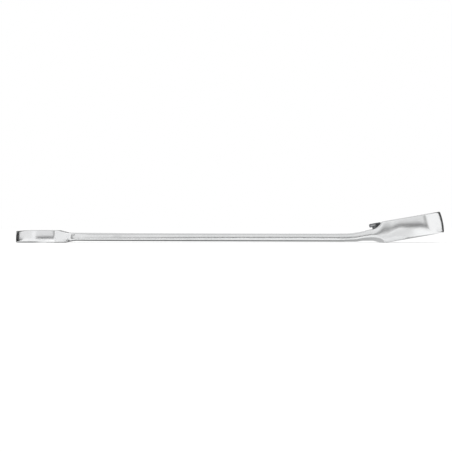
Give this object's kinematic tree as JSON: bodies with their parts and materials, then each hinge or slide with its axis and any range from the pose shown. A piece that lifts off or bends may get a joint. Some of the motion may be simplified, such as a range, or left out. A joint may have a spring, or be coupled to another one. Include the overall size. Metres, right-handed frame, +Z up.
{
  "type": "ratcheting combination spanner",
  "caption": "Slim chromed spanner with an open jaw at one end and a tilted, reversible ratchet ring at the other, for turning hexagon nuts and bolts.",
  "frame": {"origin": "under the middle of the spanner's length, on the surface that the spanner lies on", "axes": "+X along the shank towards the ratchet ring, +Z up, away from the surface, with the ring tilted upwards at its tip"},
  "size_m": [0.178, 0.027, 0.0129],
  "materials": {
    "satin_chrome": "satin chrome plate over a forged and ground body",
    "gear_steel": "machined and plated steel",
    "spring_steel": "plain spring steel",
    "dark_steel": "dark polished chrome"
  },
  "bodies": {
    "body": {"spanner_body": "satin_chrome", "gear_snap_ring": "spring_steel", "pawl_pin": "gear_steel", "lever_clip": "spring_steel"},
    "gear": {"drive_gear": "gear_steel"},
    "pawl": {"pawl": "gear_steel"},
    "lever": {"reversing_lever": "dark_steel", "detent_spring": "spring_steel"},
    "plunger": {"detent_plunger": "gear_steel"}
  },
  "joints": [
    {"name": "gear_spin", "type": "hinge", "parent": "body", "child": "gear", "pos_m": [0.07598, 0, 0.00643], "axis": [-0.1736, 0, 0.9848], "continuous": true},
    {"name": "lever_swing", "type": "hinge", "parent": "body", "child": "lever", "pos_m": [0.06147, 0, 0.00387], "axis": [-0.1736, 0, 0.9848], "range_deg": [-50, 0]},
    {"name": "pawl_rock", "type": "hinge", "parent": "body", "child": "pawl", "pos_m": [0.06498, 0, 0.00449], "axis": [-0.1736, 0, 0.9848], "range_deg": [0, 6]},
    {"name": "plunger_press", "type": "slide", "parent": "lever", "child": "plunger", "axis": [-0.8925, -0.4226, -0.1574], "range_m": [0, 0.0003], "stiffness_N_per_m": 200, "deforming": ["detent_spring"]}
  ],
  "couplings": [
    {"joint": "pawl_rock", "follows": "lever_swing", "ratio": -0.12}
  ]
}
